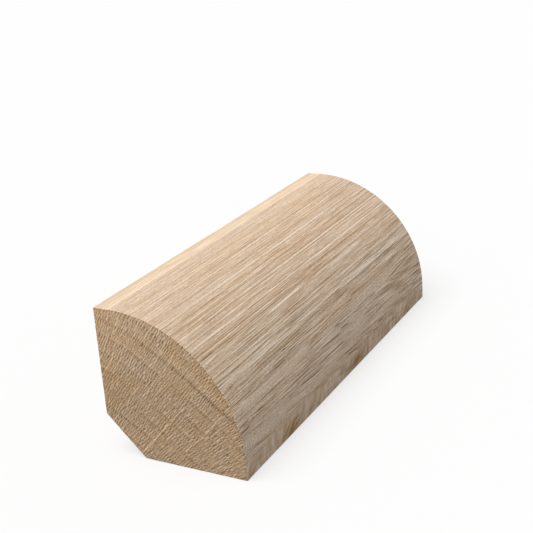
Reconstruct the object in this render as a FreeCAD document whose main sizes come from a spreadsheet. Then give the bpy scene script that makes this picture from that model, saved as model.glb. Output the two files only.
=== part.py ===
"""Quarter round moulding: one short length of planed oak, a parametric FreeCAD document.

The section is a square whose outer corner is a true quarter circle. The round runs tangent into a
narrow flat shoulder at the top and another at the toe, and the heel, the corner that goes into the
angle between wall and floor, is cut off at 45 degrees so that the moulding clears a bead of glue.

Frame: millimetres, +Z up. The moulding lies on its floor face with its length along Y and its wall
face towards -X. The origin is the middle of the bottom of its bounding box.
"""

import FreeCAD
import Part
import math
import os
import Sketcher

PARTS_FOLDER = "parts"

# Driving dimensions: alias, value in millimetres, what it measures.
SIZES = (
    ("width", 19.0, "wall face to toe, across the floor"),
    ("height", 19.0, "floor face to the top of the wall face"),
    ("shoulder", 2.2, "flat left beside the round, on the shorter side of the section"),
    ("heel_chamfer", 5.1, "each leg of the 45 degree cut at the heel"),
    ("length", 58.0, "one square-cut end to the other"),
)

# The round stays a true quarter circle when width and height differ: the longer side keeps a longer flat.
ROUND_RADIUS = "min(Sizes.width; Sizes.height) - Sizes.shoulder"

QUARTER_TURN = math.pi / 2

# Sketcher's numbers for the two ends of an edge, and for the sketch's X axis, which starts at its origin.
START, END = 1, 2
X_AXIS = -1

doc = FreeCAD.newDocument("QuarterRound")


def make_sizes():
    """The spreadsheet that every feature reads: one row per size, with its alias and meaning."""
    sheet = doc.addObject("Spreadsheet::Sheet", "Sizes")
    for row, (alias, value, meaning) in enumerate(SIZES, start=1):
        sheet.set(f"A{row}", alias)
        sheet.set(f"B{row}", str(value))
        sheet.setAlias(f"B{row}", alias)
        sheet.set(f"C{row}", meaning)
    doc.recompute()
    return sheet


def origin_plane(body, role):
    """One of the body's own origin planes, found by its role."""
    return next(plane for plane in body.Origin.OriginFeatures if plane.Role == role)


def add_sized(sketch, name, expression, *constraint):
    """Adds a dimension to the sketch and binds it to an expression of the spreadsheet."""
    index = sketch.addConstraint(Sketcher.Constraint(*constraint))
    sketch.renameConstraint(index, name)
    sketch.setExpression(f"Constraints.{name}", expression)


def draw_section(sketch, sheet):
    """The moulding's section, seen from the -Y end: wall face on the left, floor face at the bottom."""
    half, height = sheet.width / 2, sheet.height
    radius = min(sheet.width, sheet.height) - sheet.shoulder
    heel = sheet.heel_chamfer
    centre = FreeCAD.Vector(half - radius, height - radius)

    def line(x0, y0, x1, y1):
        return sketch.addGeometry(Part.LineSegment(FreeCAD.Vector(x0, y0), FreeCAD.Vector(x1, y1)))

    floor = line(heel - half, 0, half, 0)
    toe = line(half, 0, half, centre.y)
    circle = Part.Circle(centre, FreeCAD.Vector(0, 0, 1), radius)
    round_face = sketch.addGeometry(Part.ArcOfCircle(circle, 0, QUARTER_TURN))
    top = line(centre.x, height, -half, height)
    wall = line(-half, height, -half, heel)
    heel_cut = line(-half, heel, heel - half, 0)

    for before, after in ((floor, toe), (top, wall), (wall, heel_cut), (heel_cut, floor)):
        sketch.addConstraint(Sketcher.Constraint("Coincident", before, END, after, START))
    for before, after in ((toe, round_face), (round_face, top)):
        sketch.addConstraint(Sketcher.Constraint("Tangent", before, END, after, START))
    for level in (floor, top):
        sketch.addConstraint(Sketcher.Constraint("Horizontal", level))
    for upright in (toe, wall):
        sketch.addConstraint(Sketcher.Constraint("Vertical", upright))
    sketch.addConstraint(Sketcher.Constraint("PointOnObject", floor, END, X_AXIS))

    add_sized(sketch, "Width", "Sizes.width", "DistanceX", wall, END, toe, START, sheet.width)
    add_sized(sketch, "ToeFromMiddle", "Sizes.width / 2", "DistanceX", X_AXIS, START, toe, START, half)
    add_sized(sketch, "Height", "Sizes.height", "DistanceY", floor, END, wall, START, height)
    add_sized(sketch, "RoundRadius", ROUND_RADIUS, "Radius", round_face, radius)
    add_sized(sketch, "HeelAcross", "Sizes.heel_chamfer", "DistanceX", heel_cut, START, heel_cut, END, heel)
    add_sized(sketch, "HeelUp", "Sizes.heel_chamfer", "DistanceY", heel_cut, END, heel_cut, START, heel)


def make_moulding(sheet):
    """The section run along Y by the moulding's length, half to each side of the origin."""
    body = doc.addObject("PartDesign::Body", "Moulding")
    body.Label = "quarter_round_moulding"
    section = body.newObject("Sketcher::SketchObject", "Section")
    section.AttachmentSupport = [(origin_plane(body, "XZ_Plane"), "")]
    section.MapMode = "FlatFace"
    draw_section(section, sheet)
    doc.recompute()

    run = body.newObject("PartDesign::Pad", "Run")
    run.Profile = section
    run.SideType = "Symmetric"
    run.setExpression("Length", "Sizes.length")
    doc.recompute()
    return body


def check_document(subparts):
    """Stops before anything is written if a feature failed or a sub-part is not one sound solid."""
    for item in doc.Objects:
        failed = {"Invalid", "Error"} & set(item.State)
        if failed:
            raise RuntimeError(f"{item.Label}: {', '.join(sorted(failed))}")
    for item in subparts:
        shape = item.Shape
        if shape.isNull() or not shape.isValid() or len(shape.Solids) != 1:
            raise RuntimeError(f"{item.Label}: its shape is not one valid solid")


def export(subparts):
    """Writes each sub-part to a STEP file that carries its label."""
    os.makedirs(PARTS_FOLDER, exist_ok=True)
    for item in subparts:
        item.Shape.exportStep(os.path.join(PARTS_FOLDER, f"{item.Label}.step"))
        box = item.Shape.BoundBox
        size = f"{box.XLength:.2f} x {box.YLength:.2f} x {box.ZLength:.2f} mm"
        print(f"{item.Label}: {size}, {item.Shape.Volume:.1f} mm3")


subparts = [make_moulding(make_sizes())]
check_document(subparts)
export(subparts)
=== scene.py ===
"""Quarter round moulding in pale, unfinished oak: its looks, laid out as a Blender add-on.

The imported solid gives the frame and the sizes. One dense mesh stands for it, with eased and slightly worn
edges. The oak is solid in three dimensions: its growth rings and rays lie round a pith below the heel, and
the strands that show as dashes on the sawn ends run on along the planed faces. The same figure colours the
wood and cuts its soft streaks and torn strands into the mesh.

Lengths are metres in the scene and millimetres in the figure. The moulding lies along Y.
"""

import math

import bpy
import numpy as np
from bpy.props import FloatProperty, FloatVectorProperty, PointerProperty
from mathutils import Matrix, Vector
from mathutils import noise as smooth
from mathutils.geometry import delaunay_2d_cdt


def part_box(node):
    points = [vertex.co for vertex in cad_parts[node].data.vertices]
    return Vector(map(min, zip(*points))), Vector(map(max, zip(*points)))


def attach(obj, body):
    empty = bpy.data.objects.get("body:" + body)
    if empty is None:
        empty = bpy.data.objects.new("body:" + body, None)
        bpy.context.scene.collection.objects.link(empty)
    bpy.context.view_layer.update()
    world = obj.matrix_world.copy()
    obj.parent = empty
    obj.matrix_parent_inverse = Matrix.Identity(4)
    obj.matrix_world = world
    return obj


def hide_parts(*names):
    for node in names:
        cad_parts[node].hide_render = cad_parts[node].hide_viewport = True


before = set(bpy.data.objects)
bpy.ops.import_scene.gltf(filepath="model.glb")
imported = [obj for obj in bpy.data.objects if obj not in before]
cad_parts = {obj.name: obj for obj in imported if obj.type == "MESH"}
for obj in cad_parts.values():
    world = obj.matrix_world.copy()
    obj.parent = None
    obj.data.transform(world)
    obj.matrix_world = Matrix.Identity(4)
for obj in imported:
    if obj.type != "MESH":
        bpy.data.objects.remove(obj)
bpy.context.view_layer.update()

bl_info = {
    "name": "Quarter round moulding",
    "version": (1, 0, 0),
    "blender": (4, 5, 0),
    "location": "View3D > Sidebar > Moulding",
    "description": "Builds a short length of oak quarter round on a pale studio floor",
    "category": "Add Mesh",
}

NODE = "quarter_round_moulding"
PIECE = "oak_quarter_round"
MM = 0.001
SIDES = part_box(NODE)[1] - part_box(NODE)[0]

# Kinds of node tree and of socket that the oak's figure is built with.
COLOUR, RELIEF = "ShaderNodeTree", "GeometryNodeTree"
NUMBER, POINT, SHAPE, TINT = "NodeSocketFloat", "NodeSocketVector", "NodeSocketGeometry", "NodeSocketColor"

# Where distances round the pith are measured: about its distance from the middle of the section, in
# millimetres. All rings of the section lie between the two distances of the span.
RING_REACH = 54.0
RING_SPAN = (40, 66)

# The rings aren't quite centred on the point that the rays run to: how far they drift out, per distance
# round it from this angle in degrees.
RING_LEAN, RING_LEVEL = 0.12, 47.5

# Rows of strands that a sawn end shows in one year's growth, and from one strand of a row to the next, in
# millimetres.
ROWS_A_YEAR = 3
STRAND_PITCH = 0.35

# From one ray to the next round the pith, in millimetres.
RAY_SPACING = 1.2

# Low on the round the lines are finer and darker: where that begins and where it is reached in full, across
# the moulded face in millimetres. Further down they fan out towards the far end: from where, and by which
# share for each millimetre of the length.
LOW_FROM, LOW_FULL = 14.0, 22.0
FAN_FROM, FAN_RATE = 21.5, 0.012

# Streaks that run along the round: place across the moulded face, half width in millimetres, and how much
# paler or darker than the wood beside them.
STREAKS = (
    (0.4, 0.35, -0.6),
    (1.8, 0.25, 0.4),
    (2.35, 0.2, -0.12),
    (3.4, 0.7, 0.35),
    (5.2, 0.35, -0.35),
    (6.2, 0.35, 0.25),
    (10.0, 0.3, -0.3),
    (13.1, 0.25, -0.1),
    (13.7, 0.25, 0.3),
    (14.6, 0.35, -0.4),
    (17.2, 0.3, -0.3),
    (19.1, 0.35, 0.5),
    (20.0, 0.35, -0.3),
    (21.4, 0.6, -0.35),
    (23.7, 0.5, 0.4),
    (28.2, 0.4, -0.25),
)

# Pale lines where the round cuts a ray along its length: place across the moulded face, place along it, half
# length and half width in millimetres, slope, and strength.
LINES = (
    (9.15, 0.0, 30.0, 0.12, 0.0, 0.65),
    (11.95, 10.0, 20.0, 0.13, 0.0, 0.7),
    (12.0, -26.0, 4.0, 0.13, 0.0, 0.6),
    (13.65, -25.0, 5.0, 0.15, 0.0, 0.8),
    (13.75, 12.0, 14.0, 0.13, 0.0, 0.7),
    (15.3, 14.0, 15.0, 0.13, 0.0, 0.7),
    (15.85, -27.5, 2.0, 0.16, 0.0, 0.9),
    (15.8, -8.5, 6.5, 0.18, -0.015, 1.2),
    (16.05, 10.0, 8.0, 0.14, 0.0, 0.9),
    (17.6, -20.0, 6.0, 0.13, 0.0, 0.6),
    (18.1, -4.0, 6.0, 0.14, 0.0, 0.6),
    (18.1, 25.0, 5.0, 0.14, 0.0, 0.6),
    (19.4, 15.5, 14.0, 0.16, 0.0, 1.1),
    (20.6, 14.5, 9.0, 0.15, 0.0, 0.7),
)

# Open pores that the round cuts along their length, placed in the same way.
PORES = (
    (15.3, -27.3, 1.8, 0.09, 0.0, 0.7),
    (19.7, 17.0, 11.0, 0.08, 0.0, 0.6),
    (20.5, -14.7, 0.7, 0.105, 0.0, 0.9),
    (21.25, -17.2, 2.0, 0.075, 0.0, 0.6),
    (21.6, -17.0, 2.0, 0.075, 0.0, 0.6),
    (21.5, -26.0, 3.2, 0.09, 0.0, 0.6),
    (22.9, -8.1, 2.4, 0.08, 0.0, 0.5),
    (22.9, 21.0, 5.0, 0.09, -0.06, 0.8),
    (23.0, -1.2, 1.3, 0.09, 0.03, 0.8),
    (23.3, -20.6, 4.6, 0.08, 0.0, 0.7),
    (23.4, 5.4, 2.2, 0.08, 0.03, 0.6),
    (23.85, 0.6, 1.6, 0.095, 0.09, 0.9),
    (23.9, 19.0, 1.8, 0.09, 0.15, 0.7),
    (24.05, -4.0, 4.0, 0.09, 0.05, 0.9),
    (24.1, -27.8, 1.4, 0.09, 0.0, 0.8),
    (24.1, -23.9, 1.1, 0.09, 0.0, 0.7),
    (24.75, -27.9, 1.4, 0.105, 0.0, 1.0),
    (24.8, -14.1, 3.9, 0.09, 0.01, 0.8),
    (24.9, 9.5, 3.0, 0.08, 0.06, 0.6),
    (25.45, -4.6, 4.5, 0.09, 0.0, 0.8),
    (25.95, -11.8, 3.2, 0.095, 0.1, 0.9),
    (26.7, 25.9, 3.2, 0.09, -0.08, 0.6),
    (27.35, 0.2, 1.6, 0.09, 0.09, 0.8),
    (27.6, 11.6, 1.4, 0.095, 0.1, 0.9),
    (28.0, 1.4, 2.0, 0.105, 0.12, 1.0),
)

# Plain patches with hardly any streaks, placed in the same way.
PATCHES = (
    (22.55, -18.0, 14.0, 0.65, 0.0, 1.0),
    (22.6, 13.0, 11.0, 0.75, 0.0, 1.0),
    (25.2, 4.0, 5.0, 2.0, 0.0, 1.0),
    (26.6, -23.0, 9.0, 1.3, 0.0, 1.0),
    (26.5, 15.0, 6.0, 1.0, -0.05, 0.8),
    (27.2, -9.0, 7.0, 0.8, 0.0, 0.8),
)

# Stains on the toe: place along it, half length in millimetres, and depth of colour. The span holds all of
# them.
STAIN_SPAN = (-40, 40)
STAINS = (
    (-28.3, 1.4, 0.3),
    (-18.0, 4.0, 0.5),
    (-12.4, 1.4, 0.25),
    (2.0, 4.8, 0.45),
    (12.4, 2.0, 0.2),
    (22.0, 3.2, 0.27),
)

# Rays that stand out on the sawn ends: angle round the pith in degrees, distance from it, half length and
# half width in millimetres, and strength.
RAYS = (
    (37.7, 52.0, 2.5, 0.12, 0.4),
    (45.2, 50.5, 3.0, 0.12, 0.4),
    (47.3, 59.5, 2.0, 0.12, 0.6),
    (47.5, 49.0, 7.0, 0.16, 0.9),
    (49.4, 46.5, 3.0, 0.13, 0.7),
    (49.5, 58.8, 2.0, 0.12, 0.6),
    (53.7, 52.5, 1.5, 0.12, 0.4),
    (59.9, 57.0, 2.0, 0.12, 0.6),
)

# The year that stands out: distance from the pith, half width in millimetres, and how much paler or darker
# its early and its late wood are. It grows from faint to strong between two angles round the pith, in
# degrees.
DARK_YEAR = 58.25
YEARS = (
    (DARK_YEAR, 0.45, -0.4),
    (DARK_YEAR + 0.9, 0.5, 0.25),
)
YEAR_FAINT, YEAR_STRONG = 57, 50


def as_seen(red, green, blue):
    """A colour given as it looks on a screen, 0 to 255, as the linear values that Blender's colours hold."""
    shares = (value / 255 for value in (red, green, blue))
    return tuple(s / 12.92 if s <= 0.04045 else ((s + 0.055) / 1.055) ** 2.4 for s in shares)


def length(name, description, default):
    """A property that holds a length in metres."""
    return FloatProperty(
        name=name, description=description, default=default, min=0, unit="LENGTH", precision=5
    )


def fraction(name, description, default):
    """A property that holds a number from 0 to 1."""
    return FloatProperty(
        name=name, description=description, default=default, min=0, max=1, subtype="FACTOR"
    )


def colour(name, description, default):
    """A property that holds a surface's own colour."""
    return FloatVectorProperty(
        name=name, description=description, default=as_seen(*default), size=3, min=0, max=1, subtype="COLOR"
    )


class MouldingSizes(bpy.types.PropertyGroup):
    """The moulding's section and run, as the solid has them, and the easing of its edges."""

    width: length("Width", "Wall face to toe, across the floor", SIDES.x)
    height: length("Height", "Floor face to the top of the wall face", SIDES.z)
    run: length("Length", "One sawn end to the other", SIDES.y)
    shoulder: length("Shoulder", "Flat left beside the round", 2.2 * MM)
    heel: length("Heel cut", "Each leg of the cut at the heel", 5.1 * MM)
    arris: length("Arris", "Radius that handling has left on the edges", 0.12 * MM)
    grid: length("Grid", "Distance between points across the grain", 0.14 * MM)
    stride: length("Stride", "Distance between points along the grain", 0.8 * MM)


class OakFinish(bpy.types.PropertyGroup):
    """The oak's own colours, and the scale and depth of its figure."""

    pale: colour("Pale wood", "Light strands of a planed face", (255, 236, 210))
    body: colour("Wood", "Most of a planed face", (216, 188, 160))
    dark: colour("Dark wood", "Brown strands of a planed face", (170, 140, 110))
    grey_pale: colour("Grey wood, pale", "Light strands towards the toe", (255, 235, 214))
    grey_body: colour("Grey wood", "Most of the wood towards the toe", (214, 190, 164))
    grey_dark: colour("Grey wood, dark", "Brown strands towards the toe", (160, 132, 102))
    ray: colour("Rays", "Rays that a planed face cuts along", (253, 238, 220))
    pore: colour("Pores", "Open pores in the planed faces", (114, 84, 48))
    shoulder: colour("Shoulder", "Freshly planed flat at the top", (255, 231, 203))
    shoulder_dark: colour("Shoulder, dark", "Brown strands of that flat", (213, 185, 153))
    stain: colour("Stain", "Smears on the toe", (160, 122, 66))
    end_pale: colour("End, pale", "Rays and pale strands of a sawn end", (250, 220, 187))
    end_body: colour("End", "Most of a sawn end", (201, 170, 137))
    end_dark: colour("End, dark", "Open strands of a sawn end", (145, 120, 87))
    ring_width: length("Ring width", "One year's growth", 2.15 * MM)
    streak_depth: length("Streak depth", "How deep the soft streaks lie below the hard ones", 0.02 * MM)
    strand_depth: length("Strand depth", "How deep the saw has torn the end's strands", 0.03 * MM)
    pith: FloatVectorProperty(
        name="Pith",
        description="Where the middle of the trunk was, seen on the sawn end",
        default=(-35.2 * MM, -32.4 * MM),
        size=2,
        unit="LENGTH",
    )


class StudioLight(bpy.types.PropertyGroup):
    """The pale floor, the soft light and the camera."""

    floor: fraction("Floor", "How white the floor is", 0.9)
    glow: fraction("Glow", "Share of the floor that shows no shadow", 0.65)
    bounce: fraction("Bounce", "Share of light the floor sends back", 0.4)
    sky: FloatProperty(name="Sky", description="Level of the light from all round", default=0.43, min=0)
    key: FloatProperty(
        name="Key", description="Level of the main lamp on a face turned to it", default=0.71, min=0
    )
    key_from: FloatVectorProperty(
        name="Key from",
        description="Towards the main lamp",
        default=(-0.243, -0.334, 0.911),
        subtype="DIRECTION",
    )
    softness: FloatProperty(
        name="Softness", description="Width of the lamp", default=math.radians(50), subtype="ANGLE"
    )
    eye: FloatVectorProperty(
        name="Eye",
        description="Where the camera stands",
        default=(0.064386, -0.119729, 0.065695),
        subtype="XYZ",
        unit="LENGTH",
    )
    gaze: FloatVectorProperty(
        name="Gaze",
        description="How the camera is turned",
        default=tuple(math.radians(angle) for angle in (69.403, 3.787, 27.665)),
        subtype="EULER",
    )
    lens: FloatProperty(
        name="Lens", description="Focal length for a 36 mm frame", default=72.42, min=1, unit="CAMERA"
    )


class Wire:
    """A value in a node tree. Arithmetic on it adds nodes, so that a pattern reads as its formula."""

    def __init__(self, tree, socket):
        self.tree = tree
        self.socket = socket

    def __add__(self, other):
        return maths("ADD", self, other)

    def __sub__(self, other):
        return maths("SUBTRACT", self, other)

    def __rsub__(self, other):
        return maths("SUBTRACT", other, self)

    def __mul__(self, other):
        return maths("MULTIPLY", self, other)

    def __truediv__(self, other):
        return maths("DIVIDE", self, other)

    def ramp(self, low, high):
        """0 at low and 1 at high, with soft ends. Low may be above high."""
        node = self.tree.nodes.new("ShaderNodeMapRange")
        node.interpolation_type = "SMOOTHSTEP"
        for name, value in (("Value", self), ("From Min", low), ("From Max", high)):
            plug(self.tree, value, node.inputs[name])
        return Wire(self.tree, node.outputs["Result"])

    def parts(self):
        """The three numbers of a vector."""
        node = self.tree.nodes.new("ShaderNodeSeparateXYZ")
        plug(self.tree, self, node.inputs[0])
        return [Wire(self.tree, socket) for socket in node.outputs]


def plug(tree, value, socket):
    """Links a wire to a socket, or writes a plain value into it."""
    if isinstance(value, Wire):
        tree.links.new(value.socket, socket)
    else:
        socket.default_value = value


def maths(operation, *values):
    """One Math node on wires and plain numbers."""
    tree = next(value.tree for value in values if isinstance(value, Wire))
    node = tree.nodes.new("ShaderNodeMath")
    node.operation = operation
    for socket, value in zip(node.inputs, values):
        plug(tree, value, socket)
    return Wire(tree, node.outputs["Value"])


def distance(right, up):
    """How far a point is from an axis, by its steps to the right of it and above it."""
    return maths("SQRT", right * right + up * up)


def vector(x, y, z):
    """Three wires as a vector."""
    node = x.tree.nodes.new("ShaderNodeCombineXYZ")
    for socket, value in zip(node.inputs, (x, y, z)):
        plug(x.tree, value, socket)
    return Wire(x.tree, node.outputs["Vector"])


def scaled(place, sizes, start=0.0):
    """A place counted in lumps of these sizes, from another start so that no two patterns agree."""
    node = place.tree.nodes.new("ShaderNodeVectorMath")
    node.operation = "MULTIPLY_ADD"
    plug(place.tree, place, node.inputs[0])
    node.inputs[1].default_value = [1 / size for size in sizes]
    node.inputs[2].default_value = (start, start * 1.7, start * 2.3)
    return Wire(place.tree, node.outputs["Vector"])


def noise(place, sizes, start=0.0, detail=0.0, roughness=0.5):
    """Smooth noise from 0 to 1, with lumps of these sizes."""
    node = place.tree.nodes.new("ShaderNodeTexNoise")
    plug(place.tree, scaled(place, sizes, start), node.inputs["Vector"])
    for name, value in (("Scale", 1.0), ("Detail", detail), ("Roughness", roughness)):
        node.inputs[name].default_value = value
    return Wire(place.tree, node.outputs["Fac"])


def cells(place, sizes, start=0.0, kind="3D"):
    """How far a place is from the middle of its cell, and a number of the cell's own from 0 to 1."""
    node = place.tree.nodes.new("ShaderNodeTexVoronoi")
    node.voronoi_dimensions = kind
    node.inputs["Scale"].default_value = 1.0
    plug(place.tree, scaled(place, sizes, start), node.inputs["Vector"])
    return Wire(place.tree, node.outputs["Distance"]), Wire(place.tree, node.outputs["Color"]).parts()[0]


def lot(count):
    """A number from 0 to 1 that is settled by another number."""
    node = count.tree.nodes.new("ShaderNodeTexWhiteNoise")
    node.noise_dimensions = "1D"
    plug(count.tree, count, node.inputs["W"])
    return Wire(count.tree, node.outputs["Value"])


def peaks(value, low, high, spots):
    """0 but for a peak or a dip at each spot: its place between low and high, half width and height."""
    base = 0.5
    node = value.tree.nodes.new("ShaderNodeFloatCurve")
    curve = node.mapping.curves[0]
    for point in curve.points:
        point.location.y = base
    for place, reach, height in spots:
        for at, level in ((place - reach, base), (place, base + height), (place + reach, base)):
            curve.points.new((at - low) / (high - low), level)
    for point in curve.points:
        point.handle_type = "VECTOR"
    node.mapping.update()
    plug(value.tree, (value - low) / (high - low), node.inputs["Value"])
    return Wire(value.tree, node.outputs["Value"]) - base


def marks(across, along, spots):
    """0 but for a mark at each spot, which lies along the grain and fades to its sides and its tips.

    The inner shares of its half width and half length have its full strength.
    """
    full_width, full_length = 0.2, 0.4
    found = across * 0.0
    for place, middle, reach, width, slope, strength in spots:
        off = maths("ABSOLUTE", across - place - (along - middle) * slope)
        far = maths("ABSOLUTE", along - middle)
        mark = off.ramp(width, width * full_width) * far.ramp(reach, reach * full_length) * strength
        found = maths("MAXIMUM", found, mark)
    return found


def shades(tone, *colours):
    """A colour read from a row of them: the first at a tone of 0, the last at 1."""
    node = tone.tree.nodes.new("ShaderNodeValToRGB")
    stops = node.color_ramp.elements
    for step in range(1, len(colours) - 1):
        stops.new(step / (len(colours) - 1))
    for stop, shade in zip(stops, colours):
        stop.color = (*shade, 1.0)
    plug(tone.tree, tone, node.inputs["Fac"])
    return Wire(tone.tree, node.outputs["Color"])


def blend(share, below, above):
    """Two colours mixed by a share from 0 to 1."""
    node = share.tree.nodes.new("ShaderNodeMix")
    node.data_type = "RGBA"
    plug(share.tree, share, node.inputs["Factor"])
    for name, value in (("A_Color", below), ("B_Color", above)):
        socket = next(item for item in node.inputs if item.identifier == name)
        plug(share.tree, value if isinstance(value, Wire) else (*value, 1.0), socket)
    return Wire(share.tree, next(item for item in node.outputs if item.identifier == "Result_Color"))


def new_group(name, kind, inputs, outputs):
    """An empty node group with these sockets, and its input wires by name."""
    tree = bpy.data.node_groups.new(name, kind)
    for socket, socket_kind in inputs.items():
        tree.interface.new_socket(socket, in_out="INPUT", socket_type=socket_kind)
    for socket, socket_kind in outputs.items():
        tree.interface.new_socket(socket, in_out="OUTPUT", socket_type=socket_kind)
    source = tree.nodes.new("NodeGroupInput")
    return tree, {socket: Wire(tree, source.outputs[socket]) for socket in inputs}


def close_group(tree, results):
    """Wires the group's results to its outputs."""
    end = tree.nodes.new("NodeGroupOutput")
    for name, wire in results.items():
        plug(tree, wire, end.inputs[name])
    return tree


def round_pith(angle):
    """The distance round the pith, in millimetres, to an angle in degrees."""
    return math.radians(angle) * RING_REACH


def ring_at(around, radius):
    """How far out the growth ring at a point lies, by the distances round the pith and from it."""
    return radius + (around - round_pith(RING_LEVEL)) * RING_LEAN


def grown_years(grain, around, ring, growth):
    """How much paler or darker the wood is by its year: darker early wood, then paler late wood."""
    early = maths("COSINE", growth * math.tau).ramp(0.6, 1.0)
    late = maths("COSINE", growth * math.tau - 1.1).ramp(0.6, 1.0)
    seen = noise(grain, (4, 70, 5), start=27.0).ramp(0.3, 0.6) * 0.7 + 0.3
    strong = around.ramp(round_pith(YEAR_FAINT), round_pith(YEAR_STRONG)) * 0.9 + 0.1
    return peaks(ring, *RING_SPAN, YEARS) * strong + (late * 0.15 - early * 0.3) * seen


def sawn_strands(grain, around, along, growth, ring_width):
    """Strands of a sawn end: dashes that stand side by side in uneven rows, and looser ones over them."""
    ragged = noise(grain, (0.25, 40, 1.0), start=35.0) * 0.35
    row = growth * ROWS_A_YEAR + ragged + noise(grain, (1.8, 60, 1.8), start=57.0)
    rank = maths("FLOOR", row)
    inner = maths("PINGPONG", row, 0.5).ramp(0.0, 0.16)
    wriggle = noise(vector(around, along, rank * 7.7), (0.5, 40, 1), start=1.0)
    reach = rank * ring_width / ROWS_A_YEAR + DARK_YEAR
    pace = (lot(rank + 0.5) * 0.35 + 0.85) * reach / (RING_REACH * STRAND_PITCH)
    lane = (around + wriggle * 0.5) * pace + lot(rank)
    patch = noise(grain, (1.6, 60, 0.9), start=3.0).ramp(0.3, 0.65) * 0.5 + 0.45
    loose = noise(grain, (0.11, 25, 0.3), start=5.0) - 0.5
    column = noise(grain, (0.12, 25, 5.0), start=39.0) - 0.5
    return maths("SINE", lane * math.tau) * patch * inner * 0.52 + loose * 0.62 + column * 0.34


def grain_streaks(grain, around, along, radius):
    """Streaks along the grain: some over the whole length, some a few millimetres long."""
    sway = noise(grain, (2.5, 8, 2.5), start=31.0, detail=1) * 0.2
    fine = vector(around + sway, along, radius)
    long = noise(fine, (0.17, 300, 0.17), start=13.0, detail=1, roughness=0.8) - 0.5
    short = noise(fine, (0.1, 5, 0.1), start=33.0, detail=1, roughness=0.6) - 0.5
    return long * 1.1 + short


def thin_rays(grain, around, along, radius):
    """Thin sheets that run out from the pith at uneven distances and break off here and there."""
    sheet = (around + noise(grain, (4, 20, 2.5), start=7.0) * 0.6) / RAY_SPACING
    number = maths("FLOOR", sheet)
    off = maths("ABSOLUTE", maths("FRACT", sheet) - lot(number) * 0.6 - 0.2) * RAY_SPACING
    broken = noise(vector(number * 5.7, along, radius), (1, 14, 4), start=9.0).ramp(0.5, 0.65)
    return off.ramp(0.1, 0.03) * broken


def fine_pores(grain, around, along, radius, year):
    """Fine pores, drawn out along the grain, which crowd in patches and in dark wood."""
    bent = vector(around + noise(grain, (5, 14, 5), start=25.0) * 1.5, along, radius)
    gap, draw = cells(bent, (0.18, 5.0, 0.18))
    crowd = noise(grain, (1.5, 9, 0.8), start=11.0).ramp(0.35, 0.65) * 0.7 - year * 1.5
    return gap.ramp(0.28, 0.12) * (crowd - draw).ramp(0.0, 0.1)


def make_oak_figure(kind):
    """The oak at a point: its place round the pith, and its strands, streaks, years, rays and pores."""
    inputs = {"Place": POINT, "Pith x": NUMBER, "Pith z": NUMBER, "Ring width": NUMBER}
    outputs = dict.fromkeys(("Around", "Radius", "Strand", "Streak", "Year", "Ray", "Pore"), NUMBER)
    tree, given = new_group("Oak figure", kind, inputs, outputs)
    x, along, z = given["Place"].parts()
    right, up = x - given["Pith x"], z - given["Pith z"]
    around = maths("ARCTAN2", up, right) * RING_REACH
    radius = distance(right, up)
    grain = vector(around, along, radius)
    ring = ring_at(around, radius) + (noise(grain, (5, 60, 12)) * 0.7 - 0.35)
    growth = (ring - DARK_YEAR) / given["Ring width"]
    year = grown_years(grain, around, ring, growth)
    results = {
        "Around": around,
        "Radius": radius,
        "Strand": sawn_strands(grain, around, along, growth, given["Ring width"]),
        "Streak": grain_streaks(grain, around, along, radius),
        "Year": year,
        "Ray": thin_rays(grain, around, along, radius),
        "Pore": fine_pores(grain, around, along, radius, year),
    }
    return close_group(tree, results)


def make_oak_warmth():
    """A colour made more golden or more grey, by a leaning of its own and in slow clouds along the grain."""
    inputs = {"Colour": TINT, "Place": POINT, "Leaning": NUMBER}
    tree, given = new_group("Oak warmth", COLOUR, inputs, {"Colour": TINT})
    clouds = noise(given["Place"], (2.4, 16, 2.4), start=41.0, detail=1) - 0.5
    node = tree.nodes.new("ShaderNodeHueSaturation")
    plug(tree, given["Colour"], node.inputs["Color"])
    plug(tree, clouds * 0.3 + given["Leaning"] + 1, node.inputs["Saturation"])
    return close_group(tree, {"Colour": Wire(tree, node.outputs["Color"])})


def place_group(tree, group, values):
    """Puts a node group into a tree with these values as its inputs, and returns its outputs by name."""
    node = tree.nodes.new("ShaderNodeGroup" if tree.bl_idname == COLOUR else "GeometryNodeGroup")
    node.node_tree = group
    for socket, value in zip(node.inputs, values):
        plug(tree, value, socket)
    return {socket.name: Wire(tree, socket) for socket in node.outputs}


def place_figure(tree, figure, place, finish):
    """Puts the oak's figure into a tree and returns its outputs by name."""
    pith_x, pith_z = finish.pith
    return place_group(tree, figure, (place, pith_x / MM, pith_z / MM, finish.ring_width / MM))


def in_millimetres(tree, socket):
    """A place in metres, from a node's socket, as a wire in millimetres."""
    return scaled(Wire(tree, socket), (MM, MM, MM))


def new_oak(name):
    """A material with its shader, as dull as unfinished wood, and the point being shaded in millimetres."""
    shine = 0.25
    material = bpy.data.materials.new(name)
    material.use_nodes = True
    tree = material.node_tree
    tree.nodes.clear()
    shader = tree.nodes.new("ShaderNodeBsdfPrincipled")
    shader.inputs["Specular IOR Level"].default_value = shine
    output = tree.nodes.new("ShaderNodeOutputMaterial")
    tree.links.new(shader.outputs["BSDF"], output.inputs["Surface"])
    place = tree.nodes.new("ShaderNodeTexCoord")
    return material, tree, shader, in_millimetres(tree, place.outputs["Object"])


def add_bump(tree, shader, height, depth):
    """Fine relief on a shader: a height, as a share of a depth in metres."""
    bump = tree.nodes.new("ShaderNodeBump")
    bump.inputs["Distance"].default_value = depth
    plug(tree, height, bump.inputs["Height"])
    tree.links.new(bump.outputs["Normal"], shader.inputs["Normal"])


def round_of(sizes):
    """The round's radius, and where its axis lies across and up."""
    radius = min(sizes.width, sizes.height) - sizes.shoulder
    return radius, sizes.width / 2 - radius, sizes.height - radius


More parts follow.
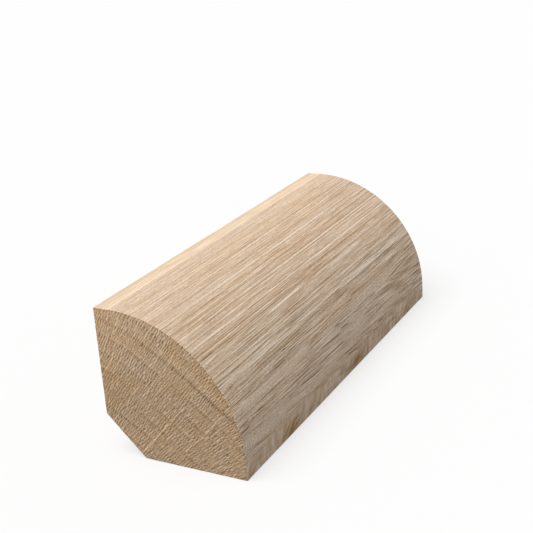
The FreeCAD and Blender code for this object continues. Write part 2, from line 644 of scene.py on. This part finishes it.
def across_face(x, z, sizes):
    """How far over the moulded face a point lies, from the wall's edge, and 1 on the other planed faces.

    On those it is below 0: they lie behind the wall's edge, close to the round's axis or on the floor.
    """
    bend, axis_x, axis_z = (value / MM for value in round_of(sizes))
    behind = 5
    right, up = x - axis_x, z - axis_z
    moulded = distance(right, up).ramp(4.0, 8.0) * z.ramp(0.0, 0.06)
    across = (maths("ARCTAN2", right, up) * bend + sizes.shoulder / MM) * moulded - (1 - moulded) * behind
    return across, across.ramp(-0.4, -1.2)


def low_lines(across, along, place, low, plain):
    """The lines low on the round: the place that they are drawn at, how they crowd, and the lines."""
    fan = maths("EXPONENT", along * -FAN_RATE) - 1
    drift = noise(place, (5, 20, 5), start=47.0) * 0.15
    fanned = vector(across + maths("MAXIMUM", across - FAN_FROM, 0.0) * fan + drift, along, low)
    crowd = noise(fanned, (2.2, 12, 9), start=53.0).ramp(0.4, 0.65) * (1 - plain)
    dash = noise(fanned, (0.065, 6.5, 9), start=49.0).ramp(0.32, 0.68) - 0.5
    return fanned, crowd, dash


def toe_smears(x, along, z, place, sizes):
    """The toe, up to an uneven edge: 1 on it, smears that lean a little, and how much its stains show."""
    flat, half = sizes.shoulder / MM, sizes.width / 2 / MM
    edge = noise(place, (20, 0.8, 20), start=37.0) * 1.6 + flat - 0.6
    toe = x.ramp(half - 0.1, half - 0.02) * (z - edge).ramp(0.7, -0.5)
    leaning = vector(x, along - z * 0.3, z)
    comb = noise(leaning, (9, 0.2, 2.2), start=43.0) - 0.5
    smear = noise(leaning, (9, 1.0, 2.6), start=19.0, detail=2, roughness=0.5) - 0.5 + comb * 0.25
    flame = noise(vector(x, along - z * 1.6, z), (9, 0.9, 1.5), start=59.0, detail=1) - 0.5
    stain = peaks(along - z * 0.8, *STAIN_SPAN, STAINS) * z.ramp(flat + 0.6, 0.8) * toe
    return toe, smear, stain * (flame * 4.0 + smear * 1.5 + 0.8) * 2.2


def make_planed_oak(finish, sizes, figure, warmth):
    """The long faces: straight streaks and open pores, a paler shoulder at the top and stains at the toe."""
    material, tree, shader, place = new_oak("Planed oak")
    x, along, z = place.parts()
    oak = place_figure(tree, figure, place, finish)
    flat, half, height = sizes.shoulder / MM, sizes.width / 2 / MM, sizes.height / MM
    girth = 2 * flat + round_of(sizes)[0] / MM * math.pi / 2
    across, hidden = across_face(x, z, sizes)

    # Broad streaks, fine fibres and plain patches, and how lively the wood is from the shoulder to the toe.
    faint = noise(vector(across, along, z), (0.6, 16, 9.0), start=15.0).ramp(0.25, 0.6) * 0.4 + 0.6
    wavy = across + noise(place, (4, 24, 4), detail=1) * 0.24 - 0.12
    main = peaks(maths("MAXIMUM", wavy, 0.0), 0, girth, STREAKS) * faint * (1 - hidden)
    fibre = noise(place, (0.09, 0.7, 0.09), start=17.0, detail=1) - 0.5
    grit = noise(place, (0.1, 0.12, 0.1), start=55.0) - 0.5
    plain = marks(wavy, along, PATCHES)
    lively = across.ramp(7.0, 10.0) * 0.22 + across.ramp(13.0, 15.0) * 0.2 - across.ramp(19.0, 22.0) * 0.25
    lively = (lively + hidden * 0.2 + 0.72) * (1 - plain * 0.8)

    # All of that as one tone, from dark to pale, with the low lines, the toe's smears and painted shade at
    # its foot.
    lower = across.ramp(LOW_FROM, LOW_FULL)
    low = lower * z.ramp(0.0, 0.3)
    fanned, crowd, dash = low_lines(across, along, place, low, plain)
    streak = oak["Streak"] * (1 - low * 0.75) + dash * low * (crowd * 0.3 + 0.52)
    tone = (streak * 1.2 + oak["Strand"] * (0.3 - low * 0.25)) * lively + oak["Year"] * 0.2
    tone = tone + main * lively * 0.64 + fibre * (0.7 - low * 0.25) + grit * (low * 0.9 + 0.4)
    tone = tone + plain * 0.07 + 0.48
    toe, smear, stain = toe_smears(x, along, z, place, sizes)
    # On the toe, the last quarter millimetre above the floor is darkened: painted contact shade.
    tone = tone + (smear * 1.3 - (tone - 0.5) * 0.75 - z.ramp(0.25, 0.0) * 0.25) * toe

    # Its colour, greyer towards the toe, with pale lines, slow changes of warmth and the stains.
    wood = blend(
        across.ramp(12.0, 26.0),
        shades(tone, finish.dark, finish.body, finish.pale),
        shades(tone, finish.grey_dark, finish.grey_body, finish.grey_pale),
    )
    worn = (noise(place, (0.5, 0.7, 0.5), start=21.0, detail=1) - 0.5) * 1.6
    worn = worn + faint * 0.3 + grit * 2.0 + 0.65
    wood = blend(marks(wavy, along, LINES) * worn, wood, finish.ray)
    golden = main * -0.2 - oak["Streak"] * 0.08 - plain * 0.05 + across.ramp(18.0, 22.0) * 0.025
    wood = place_group(tree, warmth, (wood, place, golden))["Colour"]
    wood = blend(stain, wood, finish.stain)

    # Open pores: the placed ones, others in bundles low on the round, and a few of the oak's fine ones.
    gap, draw = cells(fanned, (0.4, 9.0, 1.0), start=51.0, kind="2D")
    bundle = gap.ramp(0.2, 0.08) * (crowd * 0.5 + 0.1 - draw).ramp(0.0, 0.1) * low * 0.8
    opened = maths("MAXIMUM", marks(wavy, along, PORES) * (worn * 0.5 + 0.8), bundle)
    few = lower * (1 - low) * 0.75 + hidden * 0.4 + 0.1
    opened = maths("MAXIMUM", opened, oak["Pore"] * few)
    wood = blend(opened, wood, finish.pore)

    # The shoulder, brushed smooth and paler, with a dark line along the wall's edge.
    top = z.ramp(height - 0.06, height - 0.03) * x.ramp(flat - half + 0.06, flat - half - 0.06)
    brushed = noise(place, (0.22, 7, 0.22), start=45.0, detail=1) - across.ramp(0.22, 0.06) * 0.4 - 0.5
    smoothed = (tone - fibre * 0.4 - grit * 0.4) * 1.2 + brushed * 1.2 - 0.08
    wood = blend(top, wood, shades(smoothed, finish.shoulder_dark, finish.shoulder))

    plug(tree, wood, shader.inputs["Base Color"])
    plug(tree, oak["Streak"] * -0.4 + 0.68, shader.inputs["Roughness"])
    add_bump(tree, shader, oak["Streak"] + oak["Strand"] * 0.5 - oak["Pore"], finish.streak_depth)
    return material


def make_sawn_oak(finish, sizes, figure, warmth):
    """The sawn ends: rows of radial strands, crossed by rays, with a paler and a darker year."""
    material, tree, shader, place = new_oak("Sawn oak")
    x, _, z = place.parts()
    oak = place_figure(tree, figure, place, finish)
    fuzz = noise(place, (0.1, 0.1, 0.1), start=23.0) - 0.5

    # Painted light: paler towards the top, most of all in the corner at the wall. Darker strands along the
    # round.
    # The corner and the top are made paler as if lit from above: painted light, not the wood's own colour.
    corner = x.ramp(0.0, -10.0) * z.ramp(10.0, 19.0)
    light = z.ramp(6.0, 21.0) * 0.17 + corner * 0.08
    bend, axis_x, axis_z = (value / MM for value in round_of(sizes))
    # Torn strands with painted shade: the strands next to the round are darkened, partly as edge shadow.
    rim = distance(x - axis_x, z - axis_z).ramp(bend - 0.4, bend - 0.1) * oak["Strand"].ramp(0.3, -0.2)
    tone = oak["Strand"] * 0.69 + oak["Year"] * 0.45 + oak["Ray"] * 0.34 + fuzz * 0.75
    tone = tone + light - rim * 0.2 + 0.42

    # The rays that stand out, which have no slope.
    rays = [
        (round_pith(angle), out, reach, width, 0.0, strength) for angle, out, reach, width, strength in RAYS
    ]
    tone = tone + marks(oak["Around"], oak["Radius"], rays) * 0.4
    wood = shades(tone, finish.end_dark, finish.end_body, finish.end_pale)

    # More golden at the wall, in that corner and outside the dark year.
    outside = ring_at(oak["Around"], oak["Radius"])
    outside = outside.ramp(DARK_YEAR + 0.3, DARK_YEAR + 1.2) * oak["Around"].ramp(54.0, 47.0)
    golden = x.ramp(-5.5, -9.5) * 0.06 + corner * 0.08 + outside * 0.07
    wood = place_group(tree, warmth, (wood, place, golden))["Colour"]

    plug(tree, wood, shader.inputs["Base Color"])
    plug(tree, fuzz * 0.2 + 0.85, shader.inputs["Roughness"])
    add_bump(tree, shader, oak["Strand"] + fuzz, finish.strand_depth)
    return material


def make_relief(finish, figure):
    """Cuts the figure into the mesh, always inwards: streaks into planed faces, torn strands into ends."""
    tree, given = new_group("Oak relief", RELIEF, {"Geometry": SHAPE}, {"Geometry": SHAPE})
    tree.is_modifier = True
    place = tree.nodes.new("GeometryNodeInputPosition")
    normal = tree.nodes.new("GeometryNodeInputNormal")
    oak = place_figure(tree, figure, in_millimetres(tree, place.outputs["Position"]), finish)
    end = maths("ABSOLUTE", Wire(tree, normal.outputs["Normal"]).parts()[1]).ramp(0.4, 0.9)
    torn = oak["Strand"].ramp(0.4, -0.4) * finish.strand_depth
    cut = oak["Streak"].ramp(0.3, -0.3) * finish.streak_depth
    depth = torn * end + cut * (1 - end)
    inwards = tree.nodes.new("ShaderNodeVectorMath")
    inwards.operation = "SCALE"
    tree.links.new(normal.outputs["Normal"], inwards.inputs[0])
    plug(tree, depth * -1, inwards.inputs["Scale"])
    move = tree.nodes.new("GeometryNodeSetPosition")
    plug(tree, given["Geometry"], move.inputs["Geometry"])
    tree.links.new(inwards.outputs["Vector"], move.inputs["Offset"])
    return close_group(tree, {"Geometry": Wire(tree, move.outputs["Geometry"])})


def rounded_outline(corners, grid):
    """Points round a polygon whose corners are rounded, with their outward normals.

    Corners go clockwise, each with its radius. The outline starts in the middle of the first corner's arc.
    """
    fewest = 4
    arcs = []
    for index, (corner, radius) in enumerate(corners):
        before = (corner - corners[index - 1][0]).normalized()
        after = (corners[(index + 1) % len(corners)][0] - corner).normalized()
        turn = before.angle(after)
        centre = corner - before * radius * math.tan(turn / 2) + Vector((before.y, -before.x)) * radius
        first = math.atan2(before.x, -before.y)
        steps = max(fewest, round(radius * turn / grid))
        angles = [first - turn * step / steps for step in range(steps + 1)]
        arcs.append([(centre + Vector((math.cos(a), math.sin(a))) * radius, a) for a in angles])
    points = []
    for arc, next_arc in zip(arcs, arcs[1:] + arcs[:1]):
        points.extend(arc)
        start, angle = arc[-1]
        end = next_arc[0][0]
        steps = max(1, round((end - start).length / grid))
        points.extend((start.lerp(end, step / steps), angle) for step in range(1, steps))
    middle = len(arcs[0]) // 2
    points = points[middle:] + points[:middle]
    places = np.array([place for place, angle in points])
    normals = np.array([(math.cos(angle), math.sin(angle)) for place, angle in points])
    return places, normals


def section_of(sizes):
    """The section's outline in X and Z, with its normals, clockwise from the top of the wall face."""
    half, height, heel, arris = sizes.width / 2, sizes.height, sizes.heel, sizes.arris
    corners = [
        (Vector((-half, height)), arris),
        (Vector((half, height)), round_of(sizes)[0]),
        (Vector((half, 0)), arris),
        (Vector((heel - half, 0)), arris),
        (Vector((-half, heel)), arris),
    ]
    return rounded_outline(corners, sizes.grid)


def inside_section(sizes, points, margin):
    """Which points lie inside the section, at least that far from its outline."""
    half = sizes.width / 2
    radius, axis_x, axis_z = round_of(sizes)
    x, z = points.T
    inner = (x > margin - half) & (x < half - margin) & (z > margin) & (z < sizes.height - margin)
    inner &= (x + half + z - sizes.heel) / math.sqrt(2) > margin
    right, up = x - axis_x, z - axis_z
    return inner & ~((right > 0) & (up > 0) & (np.hypot(right, up) > radius - margin))


def sweep_section(sizes):
    """The section run along Y: points by station and column, and each column's distance round the section.

    Both ends are eased by a small arc that is worn more in some places than in others.
    """
    outline, normals = section_of(sizes)
    steps = np.linalg.norm(np.diff(outline, axis=0, append=outline[:1]), axis=1)
    across = np.concatenate([[0], np.cumsum(steps)])
    half = sizes.run / 2
    turns = np.radians((0, 30, 60, 90))
    patch, usual, spread = 0.7 * MM, 0.6, 0.35

    def eased(side):
        lumps = [smooth.noise(Vector((place / patch, side, 0.5))) for place in across[:-1]]
        wear = sizes.arris * (usual + spread * np.array(lumps))
        for turn in turns:
            x, z = (outline - normals * (wear * (1 - math.sin(turn)))[:, None]).T
            yield np.column_stack([x, side * (half - wear * (1 - math.cos(turn))), z])

    inner = np.linspace(-half, half, round(sizes.run / sizes.stride) + 1)[1:-1]
    middle = [np.column_stack([outline[:, 0], np.full(len(outline), y), outline[:, 1]]) for y in inner]
    return np.array([*eased(-1), *middle, *reversed(list(eased(1)))]), across


def fill_end(sizes, rim):
    """Points in X and Z that fill one end inside its rim, and the triangles between the rim and them."""
    triangles_inside, same_place, closer = 1, 1e-9, 0.8
    grid = sizes.grid * closer
    xs, zs = np.arange(-sizes.width / 2, sizes.width / 2, grid), np.arange(0, sizes.height, grid)
    xs, zs = np.meshgrid(xs, zs)
    xs = xs + grid / 2 * (np.arange(len(xs)) % 2)[:, None]
    inner = np.column_stack([xs.ravel(), zs.ravel()])
    inner = inner[inside_section(sizes, inner, sizes.arris + grid / 2)]
    points = [Vector(point) for point in np.concatenate([rim, inner])]
    edges = [(column, (column + 1) % len(rim)) for column in range(len(rim))]
    found = delaunay_2d_cdt(points, edges, [], triangles_inside, same_place)
    return np.array([tuple(point) for point in found[0]])[len(rim):], np.array(found[2])


def build_mesh(sizes):
    """The moulding as one mesh: the planed faces are material 0, the ends material 1.

    On its texture map the planed faces fill a strip, and the two ends stand side by side above it.
    """
    rings, across = sweep_section(sizes)
    rows, columns = rings.shape[:2]
    index = np.arange(rows * columns).reshape(rows, columns)
    beside = np.roll(index, -1, axis=1)
    quads = np.stack([index[:-1], beside[:-1], beside[1:], index[1:]], axis=-1).reshape(-1, 4)
    points, faces = [rings.reshape(-1, 3)], quads.tolist()

    margin, strip, end_side, far_end = 0.004, 0.53, 0.45, 0.5
    u = margin + across / across[-1] * (1 - 2 * margin)
    v = margin + (rings[:, 0, 1] / sizes.run + 0.5) * strip
    left, low = np.meshgrid(u[:-1], v[:-1])
    right, high = np.meshgrid(u[1:], v[1:])
    places = [np.stack([left, low, right, low, right, high, left, high], axis=-1).ravel()]

    for row, side, shift in ((0, -1, margin), (rows - 1, 1, far_end)):
        rim = rings[row][:, (0, 2)]
        inner, triangles = fill_end(sizes, rim)
        start = sum(map(len, points))
        points.append(np.column_stack([inner[:, 0], np.full(len(inner), side * sizes.run / 2), inner[:, 1]]))
        numbers = np.concatenate([index[row], start + np.arange(len(inner))])
        triangles = triangles if side < 0 else triangles[:, ::-1]
        faces.extend(numbers[triangles].tolist())
        spots = np.concatenate([rim, inner]) / (sizes.width, sizes.height) + (0.5, 0)
        places.append((spots * end_side + (shift, margin * 2 + strip))[triangles].ravel())

    mesh = bpy.data.meshes.new(PIECE)
    mesh.from_pydata(np.concatenate(points).tolist(), [], faces)
    kinds = np.ones(len(faces), dtype=np.int32)
    kinds[: len(quads)] = 0
    mesh.polygons.foreach_set("material_index", kinds)
    mesh.polygons.foreach_set("use_smooth", [True] * len(faces))
    mesh.uv_layers.new(name="OFBake").data.foreach_set("uv", np.concatenate(places))
    if mesh.validate():
        raise RuntimeError("The moulding's mesh had faults and had to be mended")
    mesh.update()
    return mesh


class OAK_OT_build_moulding(bpy.types.Operator):
    """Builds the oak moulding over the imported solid"""

    bl_idname = "oak.build_moulding"
    bl_label = "Build moulding"

    def execute(self, context):
        sizes, finish = context.scene.moulding_sizes, context.scene.oak_finish
        mesh = build_mesh(sizes)
        figure, warmth = make_oak_figure(COLOUR), make_oak_warmth()
        mesh.materials.append(make_planed_oak(finish, sizes, figure, warmth))
        mesh.materials.append(make_sawn_oak(finish, sizes, figure, warmth))
        piece = bpy.data.objects.new(PIECE, mesh)
        context.scene.collection.objects.link(piece)
        relief = piece.modifiers.new("Oak relief", "NODES")
        relief.node_group = make_relief(finish, make_oak_figure(RELIEF))
        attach(piece, "root")
        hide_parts(NODE)
        return {"FINISHED"}


class OAK_OT_set_stage(bpy.types.Operator):
    """Lays the pale floor and sets the light and the camera"""

    bl_idname = "oak.set_stage"
    bl_label = "Set stage"

    def execute(self, context):
        scene, studio = context.scene, context.scene.studio_light
        scene.view_settings.view_transform = "Standard"
        lay_floor(scene, studio)
        light_studio(scene, studio)
        set_camera(scene, studio)
        return {"FINISHED"}


def seen_directly(tree):
    """1 where the eye sees a surface itself, or sees it in a mirror or through glass."""
    path = tree.nodes.new("ShaderNodeLightPath")
    seen = Wire(tree, path.outputs["Is Camera Ray"])
    for name in ("Is Glossy Ray", "Is Transmission Ray"):
        seen = maths("MAXIMUM", seen, Wire(tree, path.outputs[name]))
    return seen


def matt(tree, level):
    """A matt shader in an even grey."""
    node = tree.nodes.new("ShaderNodeBsdfDiffuse")
    node.inputs["Color"].default_value = (level, level, level, 1)
    return node


def mix_shaders(tree, share, below, above):
    """Two shaders mixed by a share from 0 to 1."""
    node = tree.nodes.new("ShaderNodeMixShader")
    plug(tree, share, node.inputs[0])
    tree.links.new(below.outputs[0], node.inputs[1])
    tree.links.new(above.outputs[0], node.inputs[2])
    return node


def lay_floor(scene, studio):
    """A wide pale floor that shows white, keeps a faint shadow and sends little light back up."""
    reach = 3.0
    mesh = bpy.data.meshes.new("studio_floor")
    corners = [(-reach, -reach, 0), (reach, -reach, 0), (reach, reach, 0), (-reach, reach, 0)]
    mesh.from_pydata(corners, [], [(0, 1, 2, 3)])
    material = bpy.data.materials.new("Pale floor")
    material.use_nodes = True
    tree = material.node_tree
    tree.nodes.clear()
    glow = tree.nodes.new("ShaderNodeEmission")
    shown = mix_shaders(tree, studio.glow, matt(tree, studio.floor), glow)
    surface = mix_shaders(tree, seen_directly(tree), matt(tree, studio.bounce), shown)
    output = tree.nodes.new("ShaderNodeOutputMaterial")
    tree.links.new(surface.outputs[0], output.inputs["Surface"])
    mesh.materials.append(material)
    floor = bpy.data.objects.new("studio_floor", mesh)
    scene.collection.objects.link(floor)


def light_studio(scene, studio):
    """An even sky that shows white behind the floor, and one broad lamp from the upper left."""
    world = bpy.data.worlds.new("Studio sky")
    world.use_nodes = True
    tree = world.node_tree
    sky = tree.nodes["Background"]
    sky.inputs["Color"].default_value = (1, 1, 1, 1)
    plug(tree, seen_directly(tree) * (1 - studio.sky) + studio.sky, sky.inputs["Strength"])
    scene.world = world
    lamp = bpy.data.lights.new("Key lamp", "SUN")
    lamp.energy = studio.key * math.pi
    lamp.angle = studio.softness
    key = bpy.data.objects.new("Key lamp", lamp)
    key.rotation_euler = Vector(studio.key_from).to_track_quat("Z", "Y").to_euler()
    scene.collection.objects.link(key)


def set_camera(scene, studio):
    """The camera, at the photograph's viewing angle."""
    frame_width, nearest = 36, 0.01
    lens = bpy.data.cameras.new("Camera")
    lens.lens = studio.lens
    lens.sensor_width = frame_width
    lens.clip_start = nearest
    camera = bpy.data.objects.new("Camera", lens)
    camera.location = studio.eye
    camera.rotation_euler = studio.gaze
    scene.collection.objects.link(camera)
    scene.camera = camera


class OAK_PT_moulding(bpy.types.Panel):
    """Lists the moulding's sizes, its oak and the stage"""

    bl_idname = "OAK_PT_moulding"
    bl_label = "Quarter round moulding"
    bl_space_type = "VIEW_3D"
    bl_region_type = "UI"
    bl_category = "Moulding"

    def draw(self, context):
        scene, layout = context.scene, self.layout
        for group, operator in (
            (scene.moulding_sizes, None),
            (scene.oak_finish, OAK_OT_build_moulding.bl_idname),
            (scene.studio_light, OAK_OT_set_stage.bl_idname),
        ):
            box = layout.box()
            for name in group.__annotations__:
                box.prop(group, name)
            if operator:
                box.operator(operator)


CLASSES = (MouldingSizes, OakFinish, StudioLight, OAK_OT_build_moulding, OAK_OT_set_stage, OAK_PT_moulding)


def register():
    """Adds the classes to Blender and the settings to its scenes."""
    for item in CLASSES:
        bpy.utils.register_class(item)
    bpy.types.Scene.moulding_sizes = PointerProperty(type=MouldingSizes)
    bpy.types.Scene.oak_finish = PointerProperty(type=OakFinish)
    bpy.types.Scene.studio_light = PointerProperty(type=StudioLight)


def unregister():
    """Takes them out again."""
    del bpy.types.Scene.moulding_sizes
    del bpy.types.Scene.oak_finish
    del bpy.types.Scene.studio_light
    for item in reversed(CLASSES):
        bpy.utils.unregister_class(item)


def main():
    """Builds the moulding and its stage."""
    register()
    bpy.ops.oak.build_moulding()
    bpy.ops.oak.set_stage()
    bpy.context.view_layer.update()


if __name__ == "__main__":
    main()
